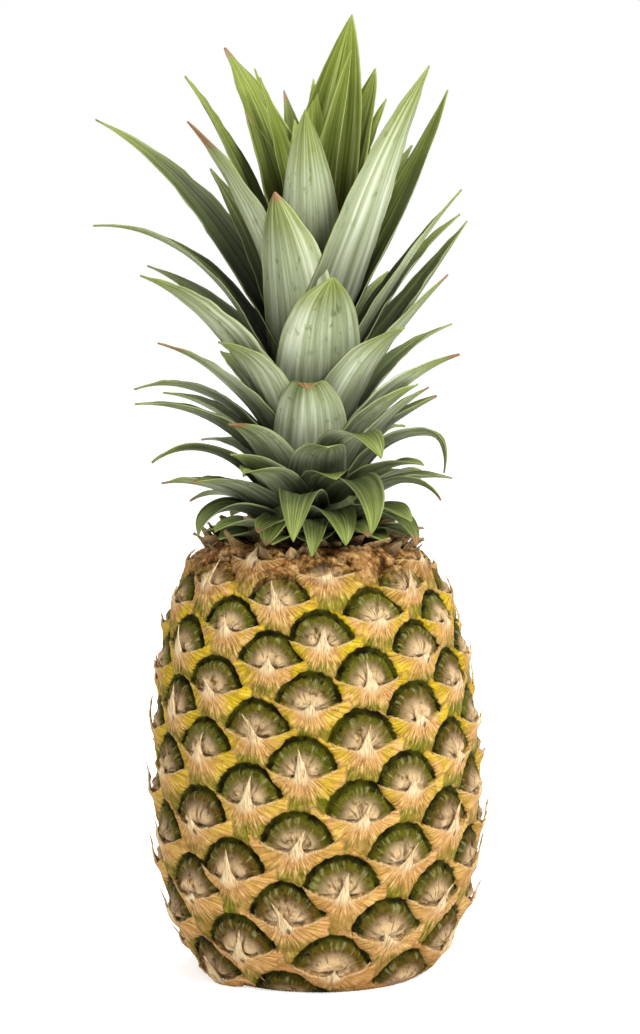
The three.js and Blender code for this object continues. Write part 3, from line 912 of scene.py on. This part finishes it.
def makeStem(c):
    profile = np.array(c["stem"], float)
    wall = np.linspace(0, profile[-1, 1], c["stemRows"])
    foot = np.linspace(0, profile[1, 0], c["footRows"])
    z = np.concatenate([0 * foot, wall])[:, None]
    radius = np.concatenate([foot, np.interp(wall, profile[1:, 1], profile[1:, 0])])[:, None]
    angle = np.radians(np.linspace(0, 360, c["stemSides"], endpoint=False))
    reach = radius + c["stemUneven"] * wobble(90, angle * 3, z * 0.4) * (radius > 1)
    x, y = np.sin(angle) * reach + fruit["lean"]["shift"], -np.cos(angle) * reach
    points = np.stack([x, y, c["seat"] + z + 0 * reach], -1) * mm
    grid = np.arange(x.size).reshape(x.shape)
    after = np.roll(grid, -1, axis=1)
    faces = np.stack([grid[:-1], after[:-1], after[1:], grid[1:]], -1).reshape(-1, 4)
    piece = addPiece("crownStem", points, faces)
    return piece


leafPiece = makeLeaves(crown)
collarPiece = makeCollar(collar)
flapPiece = makeFlaps(flaps)
stemPiece = makeStem(crown)
print("crown", len(leafPiece.data.polygons), "faces; collar", len(collarPiece.data.polygons))


# Materials

def bractColour(tree, u, v, seed, high, where):
    # tan paper with fibres that fan down from the spine, yellow and green towards its edges
    below = minus(tree, shield["foot"] + 3.5, v)
    fan = sums(tree, "ARCTAN2", u, sums(tree, "MAXIMUM", below, 0.6))
    fibres = strands(tree, fan, below, seed, 15, 0.25)
    paper = ramp(tree, fibres, [(0.22, "6a421a"), (0.36, "a8763f"), (0.5, "cb9b5e"), (0.65, "e4ba7e"),
                                (0.85, "f4dbac")])
    aside = spread(tree, magnitude(tree, u), 2.5, 9)
    upper = spread(tree, high, 0.08, 0.75, (0.08, 1))
    wide = blotches(tree, where, 34, 0.55, 0.12)
    patch = blotches(tree, where, 150, 0.55, 0.12)
    yellow = ramp(tree, fibres, [(0.2, "645e03"), (0.38, "a0890c"), (0.55, "cfae1c"), (0.8, "ead35c")])
    ripe = times(tree, aside, upper, spread(tree, plus(tree, wide, patch), 0.3, 1.2))
    base = blend(tree, ripe, paper, yellow)
    moss = ramp(tree, fibres, [(0.25, "3a3e06"), (0.5, "6a6a10"), (0.75, "a89c34")])
    deep = spread(tree, plus(tree, below, centred(tree, fibres, -9)), 6.2, 11.5)
    base = blend(tree, times(tree, deep, spread(tree, patch, 0, 1, (0.6, 1))), base, moss)
    tanned = times(tree, blotches(tree, where, 60, 0.45, 0.12), spread(tree, high, 0.6, 0, (0.15, 0.6)))
    base = blend(tree, tanned, base, "b07c44")
    rust = times(tree, blotches(tree, where, 300, 0.3, 0.05), 0.45)
    base = blend(tree, rust, base, "99683a")
    withered = ramp(tree, fibres, [(0.25, "43260f"), (0.45, "8d5f36"), (0.6, "c39a63"), (0.8, "e8cf9c")])
    dead = times(tree, spread(tree, high, 0.88, 0.97), spread(tree, patch, 0, 1, (0.5, 0.95)))
    return blend(tree, dead, base, withered)


def makeRindMaterial():
    material, tree, shader = newMaterial("rindSkin")
    u, v, seed, rim = attributes(tree, "eyeU", "eyeV", "eyeSeed", "eyeRim")
    low, high, onShield, underside = attributes(tree, "low", "high", "onShield", "underside")
    where = place(tree)
    aboveFoot = minus(tree, v, shield["foot"])
    angle = sums(tree, "ARCTAN2", aboveFoot, u)
    rays = strands(tree, angle, rim, seed, 9, 2)
    rough = grain(tree, where, 620)
    coarse = grain(tree, where, 210)
    ring = plus(tree, rim, centred(tree, rough, 0.5),
                centred(tree, coarse, 0.7),
                centred(tree, rays, 0.35))
    green = ramp(tree, ring, [(0.05, "d2a866"), (0.26, "9a7636"), (0.4, "5f4c14"), (0.54, "3a3304"),
                              (0.75, "5b560f"), (0.88, "474a05"), (1, "1d1c01")])
    brown = ramp(tree, ring, [(0.05, "cf9a60"), (0.26, "946632"), (0.4, "5c3a10"), (0.54, "382104"),
                              (0.75, "5a430f"), (0.88, "423b05"), (1, "1f1b01")])
    browner = plus(tree, times(tree, seed, 1), times(tree, high, -0.9), times(tree, coarse, 0.6))
    face = blend(tree, spread(tree, browner, -0.05, 0.75), green, brown)
    pale = times(tree, blotches(tree, where, 230, 0.7, 0.1), spread(tree, rim, 0.8, 0.3))
    face = blend(tree, times(tree, pale, 0.85), face, "e4c494")
    streaks = strands(tree, angle, rim, seed, 5, 1.2)
    darker = times(tree, spread(tree, streaks, 0.48, 0.36), spread(tree, rim, 0.75, 0.4), 0.75)
    face = blend(tree, darker, face, "4d3413")
    ticks = times(tree, spread(tree, rays, 0.5, 0.68), spread(tree, rim, 0.6, 0.85), 0.5)
    face = blend(tree, ticks, face, "a5a068")
    fray = times(tree, spread(tree, aboveFoot, 4, 0.8), spread(tree, magnitude(tree, u), 6, 2))
    frayed = strands(tree, angle, rim, seed, 14, 0.6)
    face = blend(tree, times(tree, fray, spread(tree, frayed, 0.42, 0.58)), face, "efdbb4")
    # painted shade along the crease at the shield's foot
    crease = times(tree, spread(tree, magnitude(tree, minus(tree, aboveFoot, 0.9)), 1, 0.3),
                   spread(tree, coarse, 0.35, 0.6))
    face = blend(tree, times(tree, crease, 0.85), face, "35200c")
    base = blend(tree, onShield, bractColour(tree, u, v, seed, high, where), face)
    # the groove between eyes: its own dark green, deepened with painted shade in the recess
    grooveGreenAndShade = blend(tree, blotches(tree, where, 190, 0.5, 0.12), "1b1801", "444205")
    base = blend(tree, spread(tree, low, 0.02, 0.5), base, grooveGreenAndShade)
    withered = ramp(tree, plus(tree, coarse, centred(tree, rough, 0.5)),
                    [(0.36, "2b1606"), (0.46, "68421d"), (0.57, "ad7f4a"), (0.7, "dcb983")])
    dried = times(tree, spread(tree, high, 0.9, 0.97), 0.9)
    base = blend(tree, dried, base, withered)
    scar = blend(tree, blotches(tree, where, 150, 0.5, 0.15), "8a6b45", "c6a67a")
    base = blend(tree, underside, base, scar)
    gloss = spread(tree, rough, 0.3, 0.7, (0.5, 0.75))
    finishMaterial(tree, shader, base, gloss, plus(tree, times(tree, rays, 0.5), rough, coarse), 0.0009, 0.08)
    return material


def makeBractMaterial():
    material, tree, shader = newMaterial("bractPaper")
    u, v, seed, over, high = attributes(tree, "eyeU", "eyeV", "eyeSeed", "overShield", "high")
    where = place(tree)
    base = bractColour(tree, u, v, seed, high, where)
    lengthwise = strands(tree, u, v, seed, 2.6, 0.25)
    spine = ramp(tree, lengthwise, [(0.2, "7d5529"), (0.38, "b88f5b"), (0.55, "d8b988"), (0.8, "efdcb6")])
    base = blend(tree, spread(tree, over, 0, 0.12), base, spine)
    edge = plus(tree, shield["foot"], times(tree, u, u, bract["wingRise"] / bract["wing"] ** 2))
    paperEdge = spread(tree, plus(tree, minus(tree, edge, v), times(tree, lengthwise, 1.2)), 1.5, 0.7)
    base = blend(tree, times(tree, paperEdge, 0.75), base, spine)
    fray = times(tree, spread(tree, v, shield["foot"] - 3.5, shield["foot"]),
                 spread(tree, magnitude(tree, u), 4.5, 1), spread(tree, lengthwise, 0.35, 0.55))
    base = blend(tree, times(tree, fray, 0.8), base, "e9d3a8")
    pit = minus(tree, u, centred(tree, seed, 3))
    pitUp = times(tree, minus(tree, v, shield["foot"] - 1), 0.55)
    uneven = times(tree, grain(tree, where, 700), 0.9)
    away = plus(tree, times(tree, pit, pit), times(tree, pitUp, pitUp), uneven)
    pitted = times(tree, spread(tree, away, 1.15, 0.5), spread(tree, seed, 0.7, 0.75), 0.8)
    base = blend(tree, pitted, base, "4a2f1a")
    fine = grain(tree, where, 900)
    rough = spread(tree, fine, 0.3, 0.7, (0.5, 0.78))
    finishMaterial(tree, shader, base, rough, plus(tree, lengthwise, times(tree, fine, 0.5)), 0.0008, 0.08)
    return material


def makeLeafMaterial():
    material, tree, shader = newMaterial("crownLeaf")
    along, across, side, seed = attributes(tree, "leafAlong", "leafAcross", "leafSide", "leafSeed")
    rise, bloom, dry = attributes(tree, "leafRise", "leafBloom", "leafDry")
    where = place(tree)
    stripes = strands(tree, across, along, seed, 7, 1.2)
    fine = strands(tree, across, along, seed, 34, 2.5)
    cloud = grain(tree, where, 70)
    young = spread(tree, plus(tree, rise, times(tree, along, 0.35)), 0.7, 1.25)
    green = ramp(tree, stripes, [(0.25, "2b3218"), (0.45, "434e27"), (0.6, "5d6839"), (0.8, "868f5c")])
    fresh = ramp(tree, stripes, [(0.25, "38430a"), (0.45, "5a6718"), (0.6, "808d3c"), (0.8, "b3bd82")])
    base = blend(tree, young, green, fresh)
    silver = ramp(tree, stripes, [(0.22, "76805c"), (0.48, "a4ae89"), (0.75, "dde4cb")])
    outside = spread(tree, side, 0.2, -0.2)
    drawn = joined(tree, times(tree, across, 1.6), times(tree, along, 4), times(tree, seed, 9))
    wiped = times(tree, blotches(tree, drawn, 2.6, 0.24, 0.05), spread(tree, along, 0.2, 0.75))
    covering = times(tree, outside, spread(tree, plus(tree, bloom, times(tree, cloud, 0.7)), 0.3, 1),
                     minus(tree, 1, times(tree, wiped, 0.6)), spread(tree, along, 1, 0.6, (0.2, 1)),
                     spread(tree, plus(tree, rise, times(tree, bloom, 0.3)), 0.1, 0.6, (0.72, 1)))
    base = blend(tree, times(tree, covering, 0.92), base, silver)
    threads = times(tree, spread(tree, fine, 0.5, 0.75), spread(tree, along, 0.85, 0.45), 0.17)
    base = blend(tree, threads, base, "dfe4cf")
    tipGreen = times(tree, spread(tree, plus(tree, along, times(tree, cloud, 0.5)), 0.8, 1.3), 0.65)
    tips = ramp(tree, stripes, [(0.3, "57641f"), (0.5, "8b9842"), (0.72, "c2cb8c")])
    base = blend(tree, tipGreen, base, tips)
    # painted shade: leaves with little bloom turn dark green over their lower part
    paintedLeafShade = times(tree, spread(tree, bloom, 0.4, 0.1), spread(tree, along, 1, 0.6), 0.4)
    base = blend(tree, paintedLeafShade, base, "2a3315")
    # painted shade: every leaf darkens towards its root, near black on older leaves; on young leaves the same
    # mask also gives their olive-brown base colour
    root = times(tree, spread(tree, along, 0.62, 0.03), 0.92)
    base = blend(tree, root, base, blend(tree, young, "1c210a", "4f4808"))
    margin = spread(tree, plus(tree, magnitude(tree, across), times(tree, fine, 0.12)), 0.98, 1.06)
    base = blend(tree, times(tree, margin, 0.35), base, "b3bb7c")
    end = plus(tree, along, dry, centred(tree, cloud, 0.15))
    withered = times(tree, spread(tree, end, 0.96, 1.02), spread(tree, dry, 0, 0.03))
    base = blend(tree, withered, base, ramp(tree, stripes, [(0.3, "5c4027"), (0.7, "ad8a62")]))
    rough = spread(tree, plus(tree, cloud, covering), 0.3, 1.6, (0.5, 0.72))
    ridges = times(tree, stripes, spread(tree, along, 0.8, 0.3))
    finishMaterial(tree, shader, base, rough, ridges, 0.0004, 0.12)
    return material


def makeDryMaterial(name, dark, mid, light):
    # withered blade: fibres along it, darker pits and torn, lighter edges
    material, tree, shader = newMaterial(name)
    along, across, seed = attributes(tree, "leafAlong", "leafAcross", "leafSeed")
    where = place(tree)
    fibres = strands(tree, across, along, seed, 9, 1.5)
    base = ramp(tree, plus(tree, fibres, centred(tree, seed, 0.25)),
                [(0.25, dark), (0.5, mid), (0.75, light)])
    base = blend(tree, blotches(tree, where, 260, 0.45, 0.1), base, dark)
    base = blend(tree, times(tree, spread(tree, along, 0.6, 1), 0.5), base, light)
    fine = grain(tree, where, 800)
    rough = spread(tree, fine, 0.3, 0.7, (0.6, 0.85))
    finishMaterial(tree, shader, base, rough, plus(tree, fibres, fine), 0.0008)
    return material


def makeStemMaterial():
    material, tree, shader = newMaterial("crownHeart")
    where = place(tree)
    base = blend(tree, blotches(tree, where, 120, 0.5, 0.2), "2f3714", "5d6a38")
    fine = grain(tree, where, 400)
    finishMaterial(tree, shader, base, spread(tree, fine, 0.3, 0.7, (0.5, 0.7)), fine, 0.0006)
    return material


def makeStalkMaterial():
    material, tree, shader = newMaterial("cutStalk")
    where = place(tree)
    dots = add(tree, "ShaderNodeTexVoronoi", {"Vector": where, "Scale": 900}).outputs["Distance"]
    base = ramp(tree, dots, [(0, "8f6d42"), (0.35, "c4a576"), (1, "dcc497")])
    base = blend(tree, blotches(tree, where, 180, 0.4, 0.1), base, "a07c50")
    finishMaterial(tree, shader, base, spread(tree, dots, 0, 0.8, (0.7, 0.9)), dots, 0.0005)
    return material


rindPiece.data.materials.append(makeRindMaterial())
scalePiece.data.materials.append(makeBractMaterial())
leafPiece.data.materials.append(makeLeafMaterial())
stemPiece.data.materials.append(makeStemMaterial())
collarPiece.data.materials.append(makeDryMaterial("collarPaper", "3a280e", "876430", "d6b57c"))
flapPiece.data.materials.append(makeDryMaterial("flapPaper", "6b4a22", "b48a52", "dcb986"))
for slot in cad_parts["stalk_stub"].material_slots:
    slot.material = makeStalkMaterial()
print("materials made")


# Studio: a wide pale floor, soft lights and a pale surround

studio = {
    "floorSize": 12,
    "floorColour": (0.93, 0.93, 0.93, 1),
    "floorLift": 0.63,  # evens out the floor where the lights don't reach, for the camera alone
    "surround": 0.47,
    "aim": (0, 0, 0.17),
    "lights": {
        "key": {"at": (0.85, -1.25, 1.05), "size": 0.55, "power": 31},
        "fill": {"at": (-1.1, -0.9, 0.6), "size": 1, "power": 4},
        "top": {"at": (0.1, 0.35, 1.4), "size": 0.9, "power": 14},
    },
}


def makeFloor(s):
    half = s["floorSize"] / 2
    mesh = bpy.data.meshes.new("floor")
    corners = [(-half, -half, 0), (half, -half, 0), (half, half, 0), (-half, half, 0)]
    mesh.from_pydata(corners, [], [(0, 1, 2, 3)])
    floor = newObject("floor", mesh)
    material, tree, shader = newMaterial("paleFloor")
    shader.inputs["Base Color"].default_value = s["floorColour"]
    shader.inputs["Roughness"].default_value = 0.9
    shader.inputs["Emission Color"].default_value = (1, 1, 1, 1)
    seen = add(tree, "ShaderNodeLightPath").outputs["Is Camera Ray"]
    tree.links.new(times(tree, seen, s["floorLift"]), shader.inputs["Emission Strength"])
    mesh.materials.append(material)


def makeWorld(s):
    # white to the camera, and dimmer as a light
    world = bpy.data.worlds.new("studio")
    world.use_nodes = True
    tree = world.node_tree
    seen = add(tree, "ShaderNodeLightPath").outputs["Is Camera Ray"]
    strength = plus(tree, times(tree, seen, 1 - s["surround"]), s["surround"])
    background = tree.nodes["Background"]
    background.inputs["Color"].default_value = (1, 1, 1, 1)
    tree.links.new(strength, background.inputs["Strength"])
    bpy.context.scene.world = world


def makeStudio(s):
    makeFloor(s)
    makeWorld(s)
    for name, light in s["lights"].items():
        data = bpy.data.lights.new(name, "AREA")
        data.energy = light["power"]
        data.size = light["size"]
        obj = newObject(name, data)
        obj.location = light["at"]
        obj.rotation_euler = (Vector(s["aim"]) - Vector(light["at"])).to_track_quat("-Z", "Y").to_euler()
    bpy.context.scene.view_settings.view_transform = "Standard"


makeStudio(studio)
print("studio lit")
